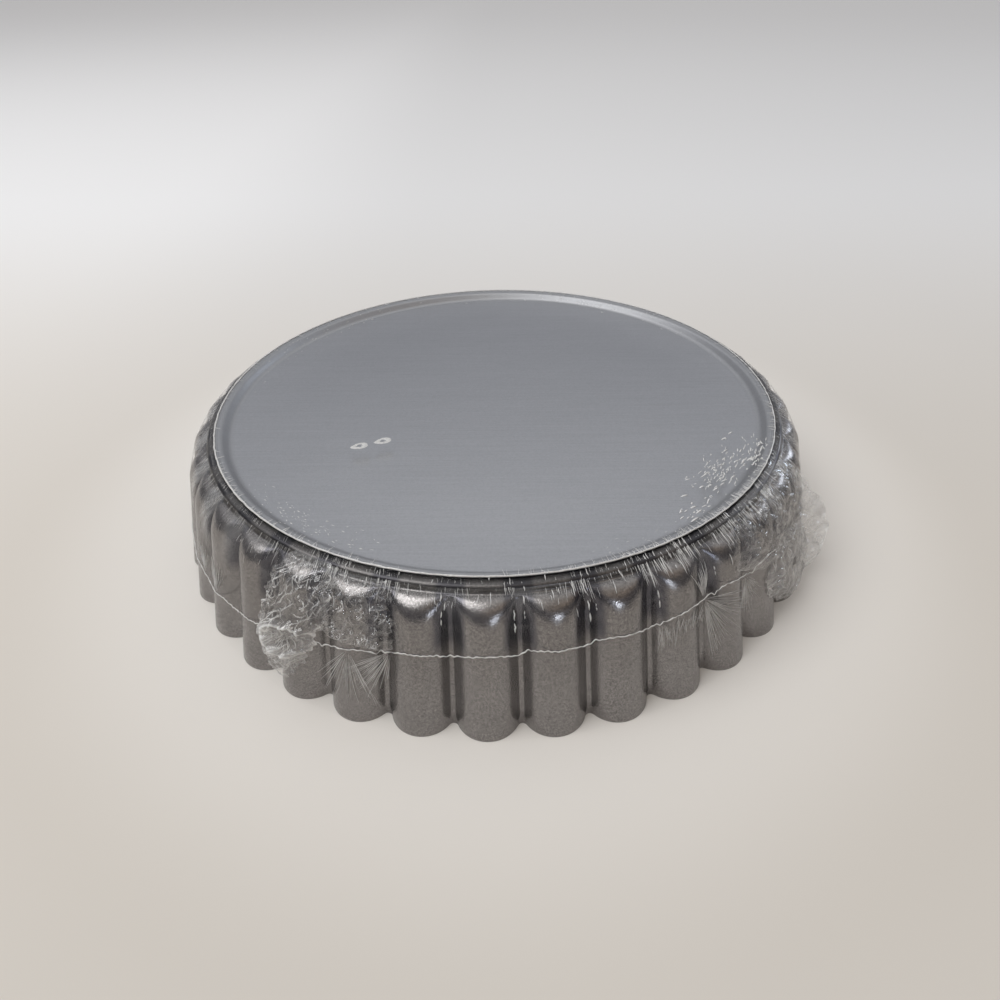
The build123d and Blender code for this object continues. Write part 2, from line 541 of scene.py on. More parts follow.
def ring_rows(sizes):
    """The sheet's two faces as rows of wall height, height, swell, plain radius and depth."""
    foot_radius = (
        sizes.mouth_radius - tan(sizes.wall_flare) * sizes.wall_height - sizes.dome_reach)
    low = sizes.wall_height + sizes.dome_height
    neck = foot_radius - sizes.neck_foot
    edge = sizes.edge_round
    first = dome_bend(sizes)[3]

    def side(inset, dome_steps, bend_steps):
        levels = [*np.linspace(edge, sizes.wall_height - 3 * edge, 7), sizes.wall_height]
        rows = [(h, h, 1.0, foot_radius, inset) for h in levels]
        rise = sizes.dome_height - inset
        for step in range(1, dome_steps):
            a = first + (pi / 2 - first) * step / dome_steps
            height = sizes.wall_height + rise * (sin(a) - sin(first)) / (1 - sin(first))
            rows.append((sizes.wall_height, height, cos(a) / cos(first), foot_radius, inset))
        foot = sizes.neck_foot + inset
        corner = sizes.neck_corner - inset
        start = (foot_radius, low - inset)
        path = [start] + arc((foot_radius, start[1] + foot), foot, -pi / 2, -pi, bend_steps)
        middle = (neck - sizes.neck_corner, sizes.top - sizes.neck_corner)
        path += [(neck - inset, middle[1])]
        path += arc(middle, corner, 0, pi / 2, bend_steps)
        path += [(r, sizes.top - inset) for r in np.linspace(
            middle[0], sizes.hole_radius + edge, 3)[1:]]
        rows += [(sizes.wall_height, z, 0.0, r, inset) for r, z in path]
        return rows

    outer = side(0.0, 14, 5)
    inner = side(sizes.sheet, 8, 3)
    sheet = sizes.sheet
    hole = [
        (sizes.hole_radius + 0.3 * edge, sizes.top - 0.3 * edge),
        (sizes.hole_radius, sizes.top - edge),
        (sizes.hole_radius, sizes.top - sheet + edge),
        (sizes.hole_radius + 0.3 * edge, sizes.top - sheet + 0.3 * edge)]
    rows = [(0.0, 0.0, 1.0, foot_radius, edge), (0.0, 0.3 * edge, 1.0, foot_radius, 0.3 * edge)]
    rows += outer
    rows += [(sizes.wall_height, z, 0.0, r, 0.0) for r, z in hole]
    rows += reversed(inner)
    rows += [
        (0.0, 0.3 * edge, 1.0, foot_radius, sheet - 0.3 * edge),
        (0.0, 0.0, 1.0, foot_radius, sheet - edge)]
    return rows, foot_radius


def flute_segment(sizes):
    """One flute of the ring as a closed band of quads."""
    rows, foot_radius = ring_rows(sizes)
    points = []
    for wall_height, height, swell, radius, inset in rows:
        for x, y in flute_outline(sizes, wall_height, inset):
            angle = atan2(y, x)
            reach = foot_radius + (hypot(x, y) - foot_radius) * swell + radius - foot_radius
            points.append((reach * cos(angle), reach * sin(angle), height))
    columns = len(flute_outline(sizes, 0.0, 0.0))
    return points, grid_faces(len(rows), columns, closed_rows=True)


def rounded(points, radii, steps=5):
    """A line of points with its inner corners made round, each point with its left normal."""
    line = []
    count = len(points)

    def heading(a, b):
        length = hypot(b[0] - a[0], b[1] - a[1])
        return ((b[0] - a[0]) / length, (b[1] - a[1]) / length)

    first = heading(points[0], points[1])
    line.append((points[0], (-first[1], first[0])))
    for i in range(1, count - 1):
        before, after = heading(points[i - 1], points[i]), heading(points[i], points[i + 1])
        turn = atan2(
            before[0] * after[1] - before[1] * after[0],
            before[0] * after[0] + before[1] * after[1])
        side = 1 if turn > 0 else -1
        radius = radii[i - 1]
        back = radius * tan(abs(turn) / 2)
        start = (points[i][0] - before[0] * back, points[i][1] - before[1] * back)
        centre = (start[0] - side * before[1] * radius, start[1] + side * before[0] * radius)
        for step in range(steps + 1):
            a = turn * step / steps
            normal = (
                -before[1] * cos(a) - before[0] * sin(a), before[0] * cos(a) - before[1] * sin(a))
            line.append((
                (centre[0] - side * normal[0] * radius, centre[1] - side * normal[1] * radius),
                normal))
    last = heading(points[-2], points[-1])
    line.append((points[-1], (-last[1], last[0])))
    return line


BASE_BENDS = (0.003, 0.0012, 0.0008)  # radii of the floor's, the seat's and the lip's bend
BASE_WEDGES = 240


def base_segment(sizes, segments):
    """One narrow wedge of the loose base as a closed band of quads."""
    seat = RING_TOP
    lip = sizes.radius - sizes.lip_width
    step = lip - sizes.seat_width
    floor = step - sizes.step_width
    line = rounded(
        [(0, seat - sizes.step_depth), (floor, seat - sizes.step_depth), (step, seat), (lip, seat),
         (sizes.radius, seat + sizes.lip_rise)],
        BASE_BENDS)
    middle, rest = line[0], line[1:]
    spread = [((floor * share, middle[0][1]), middle[1]) for share in (0.0, 0.25, 0.5, 0.75)]
    line = spread + rest
    thick = sizes.sheet
    low = [p for p, n in line]
    high = [(p[0] + n[0] * thick, p[1] + n[1] * thick) for p, n in line]
    shift = max(r for r, z in low + high) - sizes.radius
    low[-1] = (low[-1][0] - shift, low[-1][1])
    high[-1] = (high[-1][0] - shift, high[-1][1])
    profile = low + list(reversed(high))
    half = pi / segments
    points = [(r * cos(a), r * sin(a), z) for r, z in profile for a in (-half, half)]
    return points, grid_faces(len(profile), 2)


# Shape of the film, drawn tight over the rim, the domes and the wall. The lifts are how far each
# kind of fold lies off it.

FLOOR_CLEAR = 0.0003  # the film ends this far above the floor
END_CLEAR = 0.0005    # a fold ends this far from the film's own ends
SEAM_GAP = 0.00015    # from the seam's middle to the film on either side
RIM_REACH = 0.009     # the round film at the rim takes on the flutes' outline over this length
WALL_RADIUS = 0.12    # turns a distance round the wall into an angle
MM_PER_DEGREE = 2.1   # and back

GATHER_LIFT = 0.00006
FAN_LIFT = 0.00005
GLINT_LIFT = 0.00008
SEAM_LIFT = 0.00012
SPECK_LIFT = 0.00005


def off_front(angle):
    """Degrees from the side that faces the camera, from -180 to 180."""
    return (angle - FRONT + 180) % 360 - 180


def crest_path(sizes, base, gap):
    """(distance, r, z) down the film over a crest, from the base's rim to the mouth."""
    foot = sizes.mouth_radius - tan(sizes.wall_flare) * sizes.wall_height - sizes.dome_reach
    reach, tall, middle, start = dome_bend(sizes)
    across, up = (base.radius - foot) / reach, (BASE_TOP - middle) / tall
    touch = atan2(up, across) - acos(1 / hypot(across, up))
    path = [(base.radius, BASE_TOP)]
    for step in range(25):
        a = touch + (start - touch) * step / 24
        path.append((foot + reach * cos(a), middle + tall * sin(a)))
    path.append((sizes.mouth_radius - tan(sizes.wall_flare) * FLOOR_CLEAR, FLOOR_CLEAR))
    line = np.array(path)
    run = np.gradient(line, axis=0)
    run /= np.linalg.norm(run, axis=1)[:, None]
    line = line + gap * np.stack([-run[:, 1], run[:, 0]], axis=1)
    distance = np.concatenate([[0], np.cumsum(np.linalg.norm(np.diff(line, axis=0), axis=1))])
    return distance, line[:, 0], line[:, 1]


class FilmSurface:
    """The film round the tin, by the angle from -Y and the distance down from the rim."""

    def __init__(self, sizes, base, gap):
        self.distance, self.radii, self.heights = crest_path(sizes, base, gap)
        self.length = self.distance[-1]
        self.slope = cos(sizes.wall_flare)

    def points(self, angle, down):
        """Points for angles in degrees from -Y towards +X and distances in metres."""
        angle, down = np.broadcast_arrays(np.asarray(angle, float), np.asarray(down, float))
        radius = np.interp(down, self.distance, self.radii)
        height = np.interp(down, self.distance, self.heights)
        off = np.abs((angle + PITCH / 2) % PITCH - PITCH / 2)
        half = np.radians(PITCH / 2)
        share = np.clip(down / RIM_REACH, 0, 1)
        share = share * share * (3 - 2 * share)
        radius = radius * (1 + share * (np.cos(half) / np.cos(half - np.radians(off)) - 1))
        a = np.radians(angle)
        return np.stack([radius * np.sin(a), -radius * np.cos(a), height], axis=-1)

    def normals(self, angle, down):
        """Outward unit normals."""
        step_a, step_d = 0.05, 0.0001
        along = self.points(angle + step_a, down) - self.points(angle - step_a, down)
        across = self.points(angle, down + step_d) - self.points(angle, down - step_d)
        normal = np.cross(along, -across)
        return normal / np.linalg.norm(normal, axis=-1, keepdims=True)

    def down_at(self, height):
        """Distance down the film at a height on the wall."""
        return self.length - np.asarray(height, float) / self.slope


def waves(angle, seed, terms, lowest, highest):
    """A sum of sine waves round the tin, mostly between -1 and 1."""
    random = np.random.default_rng(seed)
    total = np.zeros_like(np.asarray(angle, float))
    for count in random.integers(lowest, highest, terms):
        total += np.sin(np.radians(angle) * count + random.uniform(0, 2 * pi))
    return total / terms ** 0.5


def seam_height(angle):
    """Height of the melted seam at angles from -Y, with a kink over each valley."""
    # Degrees off the front and millimetres above the mouth
    marks = np.array([
        (-180, 26.0), (-120, 17.0), (-75, 14.5), (-52, 16.4), (-38, 20.1), (-31, 24.0), (-25, 25.2),
        (-21.7, 26.3), (-19.4, 26.8), (-17.1, 27.9), (-13.8, 28.9), (-7, 29.6), (1, 30.0),
        (4.4, 31.0), (8, 30.2), (10.7, 30.2), (13, 31.5), (19, 30.6), (23.5, 30.6), (30.3, 32.2),
        (35.5, 33.1), (38.9, 32.1), (42.3, 30.3), (47.6, 31.2), (54.3, 26.1), (57.7, 22.8),
        (75, 20.0), (110, 24.0), (180, 26.0)])
    angle = np.asarray(angle, float)
    turn = off_front(angle)
    height = np.interp(turn, marks[:, 0], marks[:, 1])
    valley = np.floor(angle / PITCH).astype(int) % FLUTES
    kinks = np.random.default_rng(7).uniform(-0.9, 0.9, (FLUTES, 2))[valley]
    off = angle % PITCH - PITCH / 2
    height = height + kinks[..., 0] * np.clip(off / 0.35, -1, 1) * np.exp(-(off / 1.3) ** 2)
    height = height + kinks[..., 1] * np.exp(-((off - 0.9) / 0.3) ** 2)
    fine = 0.14 * waves(angle, 3, 7, 20, 70) + 0.15 * waves(angle, 4, 9, 90, 420)
    return (height + fine) / 1000


def skirt_shares(angle, down, below_seam, length):
    """How white and how tight the film round the ring is, at each of its points."""
    off_valley = angle % PITCH - PITCH / 2
    turn = off_front(angle)

    near_rim = np.exp(-(down / 0.011) ** 2)
    bridge = (0.5 - 0.5 * np.cos(np.radians(angle * 360 / PITCH))) * near_rim
    patchy = 0.5 + 0.5 * np.tanh(1.5 * waves(angle, 8, 6, 3, 40))
    clear = between(down, 0.0015, 0.003)
    gathered = (0.02 * near_rim + 0.11 * bridge) * patchy * clear

    # At the tin's sides, a veil between the domes and a fainter one above the seam
    aside = between(np.abs(turn + 3), 41, 12) * between(-np.abs(turn), -125, 15)
    veil = np.exp(-(off_valley / 2.4) ** 4) * between(down, 0.001, 0.002)
    veil = veil * between(-down, -0.026, 0.009)
    veil = aside * (0.36 * veil + 0.1 * between(down, 0.012, 0.008) * ~below_seam)
    streaks = 0.75 + 0.35 * waves(angle + 300 * down, 9, 8, 90, 500)

    # The film lifts off the metal over the valleys, a little way down from the rim
    valley = np.exp(-(off_valley / 1.3) ** 2)
    shoulder = np.exp(-((down - 0.0125) / 0.0035) ** 2)
    foot = between(down, length - 0.014, 0.006)
    tight = np.where(below_seam, 0.85 + 0.15 * foot, 0.95 - 0.6 * valley * shoulder)
    return np.clip(gathered + veil * streaks, 0, 1), tight


def between(value, start, width):
    """A share that goes straight from 0 at a start to 1 a width further on."""
    return np.clip((value - start) / width, 0, 1)


def set_shares(piece, **shares):
    """Stores how white (haze) or how close to the metal (tight) the film is at each point."""
    for name, values in shares.items():
        attribute = piece.data.attributes.new(name, "FLOAT", "POINT")
        attribute.data.foreach_set("value", np.asarray(values, np.float32).ravel())


def set_white(piece, share):
    """Stores one whiteness for a whole piece of film."""
    set_shares(piece, haze=np.full(len(piece.data.vertices), share))


def lines_object(name, lines, widths, closed=False):
    """A mesh of separate lines, each point with its width. A closed one is a single line."""
    points, edges, spread = [], [], []
    for line, width in zip(lines, widths):
        first = len(points)
        points.extend(tuple(p) for p in line)
        spread.extend(width)
        edges.extend((first + i, first + i + 1) for i in range(len(line) - 1))
    if closed:
        edges.append((len(points) - 1, 0))
    mesh = bpy.data.meshes.new(name)
    mesh.from_pydata(points, edges, [])
    attribute = mesh.attributes.new("width", "FLOAT", "POINT")
    attribute.data.foreach_set("value", np.asarray(spread, np.float32))
    piece = bpy.data.objects.new(name, mesh)
    bpy.context.scene.collection.objects.link(piece)
    return piece


def tapered(steps, width):
    """Widths along a fold that is thin at both ends."""
    return width * (0.12 + 0.88 * np.sin(np.linspace(0.0, pi, steps)) ** 0.7)


def gather_lines(surface, film):
    """Fine folds that run out from the rim, over the gap and onto the domes."""
    random = np.random.default_rng(11)
    bunches = FRONT + np.array([
        -62, -47, -38, -31, -26, -17, 12, 23, 25, 29, 30, 38, 41, 45, 52, 62, 85, 120, 160, 205,
        250])
    lines, widths = [], []
    for fold in range(film.gathers):
        if random.random() < 0.22:
            angle = random.choice(bunches) + random.normal(0, 1.3)
            start, length = random.uniform(0.0, 0.004), random.uniform(0.003, 0.008)
        else:
            angle = random.uniform(-180, 180)
            start, length = abs(random.normal(0.0, 0.0045)), random.uniform(0.0009, 0.0042)
        steps = 6
        down = start + length * np.linspace(0, 1, steps)
        lean = random.normal(0, 0.25) + 0.15
        wander = random.normal(0, 0.03, steps)
        angles = angle + lean * np.linspace(0, 1, steps) * length / 0.006 + wander
        lines.append(surface.points(angles, down) + GATHER_LIFT * surface.normals(angles, down))
        width = random.uniform(0.3, 0.7) if random.random() < 0.8 else random.uniform(1.2, 1.8)
        turn = off_front(angle)
        widths.append(tapered(steps, width * (0.45 if -120 < turn < -38 or turn > 66 else 1.0)))
    return lines, widths


def fan_lines(surface, film):
    """Fans of folds that spread from pinched points on the seam."""
    random = np.random.default_rng(23)
    # Degrees off the front, the side of the seam (1 above, -1 below), the lowest and the highest
    # heading in degrees, the reach in metres
    fans = (
        (31, -1, 15, 80, 0.026), (30, -1, 70, 120, 0.009), (31, 1, 75, 115, 0.013),
        (31, -1, 25, 85, 0.026), (25, -1, 75, 100, 0.011), (-15.5, -1, 95, 150, 0.021),
        (-22, -1, 60, 140, 0.022), (-33, -1, 70, 150, 0.015), (-52, 1, 60, 120, 0.014),
        (-58, 1, 60, 120, 0.013), (40, -1, 40, 100, 0.015), (75, -1, 60, 120, 0.012),
        (120, -1, 60, 120, 0.012), (170, 1, 60, 120, 0.012), (-110, 1, 60, 120, 0.012))
    lines, widths = [], []
    for middle, side, low, high, reach in fans:
        angle = FRONT + middle
        down = float(surface.down_at(seam_height(angle)))
        for fold in range(film.fan_folds):
            shift = random.normal(0, 1.6) if reach < 0.012 else 0.0
            heading = radians(random.uniform(low, high))
            near, far = random.uniform(0.001, 0.005), reach * random.uniform(0.45, 1.0)
            steps = 8
            run = np.linspace(near, far, steps)
            bend = random.normal(0, 0.06) * (run / reach) ** 2
            across = run * np.cos(heading + bend)
            along = down - side * run * np.sin(heading + bend)
            angles = angle + shift + np.degrees(across / WALL_RADIUS)
            keep = np.clip(along, END_CLEAR, surface.length - END_CLEAR)
            lines.append(surface.points(angles, keep) + FAN_LIFT * surface.normals(angles, keep))
            widths.append(tapered(steps, random.uniform(0.25, 0.75)))
    return lines, widths


def glint_lines(surface):
    """White slivers on the film beside the valleys: painted highlights where the window lamp
    glints.
    """
    random = np.random.default_rng(61)
    lines, widths = [], []
    # Degrees off the front, then where each starts and ends in millimetres, and its width
    glints = (
        (1.9, 9.9, 16.5, 2.2), (3.3, 10.4, 12.5, 1.2), (12.4, 9.7, 16.0, 2.4),
        (13.4, 11.0, 13.0, 1.2), (23.0, 12.1, 17.7, 2.2), (33.4, 12.5, 15.5, 1.6),
        (-8.2, 10.5, 14.5, 1.5))
    for angle, low, high, width in glints:
        for start, end in ((low, low + 0.45 * (high - low)), (low + 0.55 * (high - low), high)):
            down = np.linspace(start, end, 6) / 1000
            angles = FRONT + angle + 0.05 * np.sin(np.linspace(0, 3, 6)) + random.normal(0, 0.03, 6)
            lines.append(surface.points(angles, down) + GLINT_LIFT * surface.normals(angles, down))
            widths.append(tapered(6, width * random.uniform(0.8, 1.1)))
    return lines, widths


# Pouches of crumpled film. Each row: millimetres down the film, left and right border in degrees
# off the front, millimetres off the wall, whiteness. Then a scoop's middle and reach, the slope of
# the creases, the strength of their white net, the number of dimples and a seed.
POUCHES = {
    "left": ((
        (3, -33.5, -26.5, 0.2, 0.08), (7, -35.0, -25.0, 0.9, 0.06), (12, -36.0, -24.6, 1.6, 0.05),
        (21, -37.2, -25.2, 2.4, 0.02), (24, -37.9, -26.6, 3.8, 0.1), (28, -38.2, -27.4, 5.0, 0.38),
        (34, -38.3, -28.4, 4.4, 0.42), (39, -38.0, -30.0, 2.8, 0.3), (43, -37.4, -31.0, 1.8, 0.04),
        (48.5, -35.6, -33.4, 0.3, 0.1)),
        (-31.0, 29.5, 8.0, 5.6), 40, 0.95, 14, 3),
    "shoulder": ((
        (1, 43.0, 60.0, 0.1, 0.0), (5, 38.5, 63.5, 0.5, 0.02), (14, 37.0, 65.0, 0.8, 0.02),
        (20, 39.0, 65.5, 0.7, 0.02), (27, 46.0, 64.0, 0.2, 0.05)),
        None, 35, 0.18, 110, 13),
    "crinkle": ((
        (4, -26.5, -16.5, 0.1, 0.02), (10, -27.0, -15.5, 0.5, 0.02), (18, -26.5, -15.0, 0.5, 0.03),
        (24, -26.0, -15.5, 0.3, 0.02), (26, -25.0, -16.0, 0.1, 0.0)),
        None, 65, 0.35, 60, 41),
    "right": ((
        (24, 50.0, 60.0, 0.4, 0.2), (30, 46.5, 63.0, 2.2, 0.25), (36, 46.0, 64.0, 3.2, 0.12),
        (42, 48.0, 63.0, 2.6, 0.15), (52, 54.0, 59.0, 0.4, 0.1)),
        None, 65, 0.5, 0, 29),
}


def pouch(surface, outline, scoop, slope, net_share, dimples, seed):
    """Points and whiteness over a pouch: creases along a slope, a rolled scoop, round dimples."""
    random = np.random.default_rng(seed)
    rows = np.array(outline, float)
    columns, count = 130, 180
    t = np.linspace(rows[0, 0], rows[-1, 0], count)
    left, right, lift, white = (np.interp(t, rows[:, 0], rows[:, i])[:, None] for i in (1, 2, 3, 4))
    left = left + 0.35 * np.sin(0.9 * t + 1)[:, None] + 0.2 * np.sin(2.3 * t)[:, None]
    right = right + 0.35 * np.sin(0.8 * t + 2)[:, None] + 0.25 * np.sin(2.1 * t + 1)[:, None]
    share = np.linspace(0, 1, columns)[None, :]
    angle = left + (right - left) * share
    down = np.broadcast_to(t[:, None], angle.shape)
    across = (angle - rows[:, 1:3].mean()) * MM_PER_DEGREE
    warp_x = across + 0.9 * np.sin(down * 0.55 + 1.3) + 0.5 * np.sin(down * 1.3 + across * 0.4)
    warp_y = down + 0.9 * np.sin(across * 0.5) + 0.5 * np.sin(across * 1.1 + down * 0.5)
    height, net = np.zeros_like(angle), np.zeros_like(angle)
    for fold in range(5):
        way = radians(slope + random.normal(0, 28))
        length = random.uniform(1.4, 4.5)
        phase = (warp_x * sin(way) + warp_y * cos(way)) / length + random.uniform()
        wave = np.abs(phase % 1 * 2 - 1)
        height += wave * length * 0.13
        turn = warp_x * random.uniform(0.3, 1.1) + warp_y * random.uniform(0.3, 1.1)
        broken = np.clip(0.2 + np.sin(turn + fold), 0, 1)
        net = np.maximum(net, np.exp(-((1 - wave) * length / 0.17) ** 2) * broken)
    for spot in range(dimples):
        x = random.uniform(across.min(), across.max())
        y, size = random.uniform(down.min(), down.max()), random.uniform(0.5, 1.25)
        away = np.hypot(across - x, down - y) / size
        height += 0.45 * size * (np.exp(-((away - 1) / 0.35) ** 2) - np.exp(-(away / 0.7) ** 2))
        # Painted highlight: each dimple's rim is whitened on one side only, the side that catches
        # the light.
        net = np.maximum(net, 1.3 * np.exp(-((away - 1) / 0.2) ** 2) * (across - x > 0.3 * size))
    body = np.sin(pi * share) ** 0.55 * lift
    haze = white * (0.3 + 0.9 * height / height.max())
    haze = haze + net_share * net * np.clip(down / 12, 0.3, 1)
    if scoop:
        middle, low, wide, tall = scoop
        away = np.hypot((angle - middle) * MM_PER_DEGREE / wide, (down - low) / tall)
        body = body + 1.4 * np.exp(-((away - 1) / 0.16) ** 2) - 2.2 * np.exp(-(away / 0.5) ** 2)
        haze = haze + 0.9 * np.exp(-((away - 1) / 0.06) ** 2) - 0.35 * np.exp(-(away / 0.45) ** 2)
    edge = np.exp(-(share / 0.03) ** 2) + 0.7 * np.exp(-((1 - share) / 0.02) ** 2)
    rim = np.minimum(1, 6 * np.minimum(share, 1 - share)) * np.minimum(
        1, np.minimum(down - t[0], t[-1] - down) / 2.0)
    off = np.clip((body + height) * rim + 0.25, 0.1, 8.0)[..., None] / 1000
    spots = surface.points(angle + FRONT, down / 1000)
    spots = spots + surface.normals(angle + FRONT, down / 1000) * off
    spots[..., 2] = np.maximum(spots[..., 2], FLOOR_CLEAR)
    return spots, np.clip(haze + 0.6 * edge * np.clip(lift - 2.5, 0, 1), 0, 1)


def web(surface):
    """Points and whiteness of the thin web of film that stands out from the wall on the right."""
    rows, columns = 120, 50
    t, s = np.meshgrid(np.linspace(0, 1, rows), np.linspace(0, 1, columns), indexing="ij")
    places, reaches = (0, 0.12, 0.3, 0.5, 0.72, 0.9, 1), (0.3, 3.5, 8.0, 9.5, 9.0, 5, 0.3)
    reach = np.interp(t, places, reaches) / 1000
    down = surface.down_at(0.042 - 0.04 * t)
    ripple = np.sin(9 * t + 4 * s) + 0.6 * np.sin(23 * t - 6 * s + 1) + 0.3 * np.sin(47 * t + 9 * s)
    angle = FRONT + 63.5 - 2.5 * t + 0.55 * ripple * np.minimum(1, 4 * s) + 2.0 * s
    spots = surface.points(angle, down)
    out = spots * (1, 1, 0)
    out = out / np.linalg.norm(out, axis=-1, keepdims=True)
    spots = spots + out * (reach * s)[..., None] * (1 + 0.06 * ripple[..., None])
    pleats = np.exp(-((np.abs((7 * t + 0.9 * s + 0.15 * ripple) % 1 - 0.5)) / 0.07) ** 2)
    haze = 0.3 + 0.65 * pleats + 0.35 * np.exp(-((1 - s) / 0.04) ** 2) + 0.12 * (ripple > 0.6)
    # Painted highlight: a bright white spot on the web where it catches the light.
    haze = haze + 1.5 * np.exp(-(((s - 0.84) / 0.13) ** 2 + ((t - 0.36) / 0.05) ** 2))
    return spots, np.clip(haze, 0, 1)


def speck_lines(film, height, base_radius):
    """Short folds in patches on the film over the base, white as painted highlights of their
    glints.
    """
    random = np.random.default_rng(37)
    # Degrees off the front, distance from the axis, spread in degrees and in metres, share of the
    # specks, size
    patches = ((52, 0.095, 6, 0.0035, 1.1, 1.0), (62, 0.101, 4, 0.0016, 0.5, 1.0),
               (37, 0.099, 2, 0.0018, 0.12, 1.3), (-36, 0.0985, 7, 0.0022, 0.8, 0.45),
               (30, 0.101, 8, 0.0022, 0.3, 0.4), (150, 0.098, 14, 0.003, 0.4, 0.5),
               (-130, 0.098, 14, 0.003, 0.4, 0.5))
    lines, widths = [], []
    for middle, radius, spread, depth, share, size in patches:
        for speck in range(int(film.specks * share)):
            angle = FRONT + middle + random.normal(0, spread)
            reach = min(radius + random.normal(0, depth), base_radius - 0.0012)
            length = size * random.uniform(0.0006, 0.003)
            heading = radians(angle + 90 + random.normal(0, 16))
            a = radians(angle)
            centre = np.array([reach * sin(a), -reach * cos(a)])
            run = np.linspace(-0.5, 0.5, 4)[:, None] * length
            flat = centre + run * np.array([sin(heading), -cos(heading)])
            flat *= np.minimum(1, (base_radius - 0.0008) / np.linalg.norm(flat, axis=1))[:, None]
            lines.append(np.column_stack([flat, np.full(4, height + SPECK_LIFT)]))
            widths.append(tapered(4, size * random.uniform(0.6, 1.8)))
    # Hairs that cross the rim: degrees off the front, spread in degrees, how many
    for middle, spread, count in (
            (8, 4, 16), (16, 4, 22), (24, 4, 34), (32, 5, 40), (42, 5, 46), (52, 5, 46),
            (-22, 5, 14), (-34, 4, 20), (-46, 5, 16), (-60, 6, 16), (75, 7, 26), (150, 40, 60),
            (-130, 30, 40)):
        for hair in range(count):
            angle = radians(FRONT + middle + random.normal(0, spread))
            turned = angle + random.normal(0, 0.006)
            reach = base_radius + 0.0001 - random.uniform(0.0006, 0.003) * np.linspace(0, 1, 3)
            turns = np.linspace(angle, turned, 3)
            lines.append(np.column_stack([
                reach * np.sin(turns), -reach * np.cos(turns), np.full(3, height + SPECK_LIFT)]))
            widths.append(np.array([0.7, 0.5, 0.15]) * random.uniform(0.5, 1.1))
    return lines, widths


# Operators

class QUICHE_TIN_OT_ring(bpy.types.Operator):
    """Make the fluted ring from one flute repeated round the axis"""

    bl_idname = "quiche_tin.ring"
    bl_label = "Fluted ring"

    def execute(self, context):
        sizes = context.scene.quiche_tin_sizes
        ring = mesh_from("coated_ring", *flute_segment(sizes))
        material = coating_material(context.scene.quiche_tin_finishes)
        grown(ring, repeat_tree(), {
            "Count": sizes.flute_count, "Weld distance": WELD, "Material": material})
        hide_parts("fluted_ring")
        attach(ring, "ring")
        return {"FINISHED"}


class QUICHE_TIN_OT_base(bpy.types.Operator):
    """Make the loose base from one wedge repeated round the axis"""

    bl_idname = "quiche_tin.base"
    bl_label = "Loose base"

    def execute(self, context):
        sizes = context.scene.quiche_tin_base
        base = mesh_from("steel_base", *base_segment(sizes, BASE_WEDGES))
        material = steel_material(context.scene.quiche_tin_finishes)
        grown(base, repeat_tree(), {
            "Count": BASE_WEDGES, "Weld distance": WELD, "Material": material})
        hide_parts("loose_base")
        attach(base, "base")
        return {"FINISHED"}


class QUICHE_TIN_OT_film_skirt(bpy.types.Operator):
    """Make the film round the ring, from the base's rim to the mouth"""

    bl_idname = "quiche_tin.film_skirt"
    bl_label = "Film round the ring"

    def execute(self, context):
        scene = context.scene
        surface = film_surface(scene)
        columns, above, below = 1080, 32, 14
        rows = above + below
        angles = np.linspace(0, 360, columns, endpoint=False)
        edge = surface.down_at(seam_height(angles))
        share = np.linspace(0, 1, above)[:, None] ** 1.2
        rest = np.linspace(0, 1, below)[:, None]
        grid_d = np.vstack([
            share * (edge - SEAM_GAP),
            edge + SEAM_GAP + rest * (surface.length - edge - SEAM_GAP)])
        grid_a = np.broadcast_to(angles, grid_d.shape)
        seam = np.arange(rows)[:, None] * np.ones(columns) >= above
        points = surface.points(grid_a, grid_d)
        ripple = waves(grid_a, 5, 9, 60, 420) * np.exp(-((grid_d - 0.006) / 0.006) ** 2)
        points = points + surface.normals(grid_a, grid_d) * (0.00006 * ripple)[..., None]
        faces = [
            (row * columns + c, (row + 1) * columns + c,
             (row + 1) * columns + (c + 1) % columns, row * columns + (c + 1) % columns)
            for row in range(rows - 1) for c in range(columns)]
        skirt = mesh_from("film_skirt", points.reshape(-1, 3), faces)
        haze, tight = skirt_shares(grid_a, grid_d, seam, surface.length)
        set_shares(skirt, haze=haze, tight=tight)
        skirt.data.materials.append(film_material("clear_film_skirt", 0.99, 0.075, wrinkle=0.2))
        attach(skirt, "ring")
        return {"FINISHED"}


class QUICHE_TIN_OT_film_folds(bpy.types.Operator):
    """Make the fine folds and the melted seam of the film round the ring"""

    bl_idname = "quiche_tin.film_folds"
    bl_label = "Film folds and seam"

    def execute(self, context):
        scene = context.scene
        surface = film_surface(scene)
        film = scene.quiche_tin_film
        material = film_material("gathered_film", 0.97, 0.2, wrinkle=0.4)
        gathers, gather_widths = gather_lines(surface, film)
        fans, fan_widths = fan_lines(surface, film)
        glints, glint_widths = glint_lines(surface)
        folds = lines_object(
            "film_folds", gathers + fans + glints, gather_widths + fan_widths + glint_widths)
        grown(folds, fold_tree(), {"Sides": 3, "Thickness": 0.00012, "Material": material})
        # The folds' white is partly the film's own whitening, partly painted highlight for their
        # glints.
        set_white(folds, 0.95)
        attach(folds, "ring")

        angles = np.linspace(0, 360, 2161)[:-1]
        down = surface.down_at(seam_height(angles))
        line = surface.points(angles, down) + SEAM_LIFT * surface.normals(angles, down)
        turn = off_front(angles)
        shown = np.clip(np.abs(turn + 33) - 4.8, 0.12, 1)
        width = shown * (1 + 0.35 * waves(angles, 6, 9, 60, 300))
        seam = lines_object("film_seam", [line], [width], closed=True)
        grown(seam, fold_tree(), {"Sides": 6, "Thickness": film.seam, "Material": material})
        set_white(seam, 0.9)
        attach(seam, "ring")
        return {"FINISHED"}


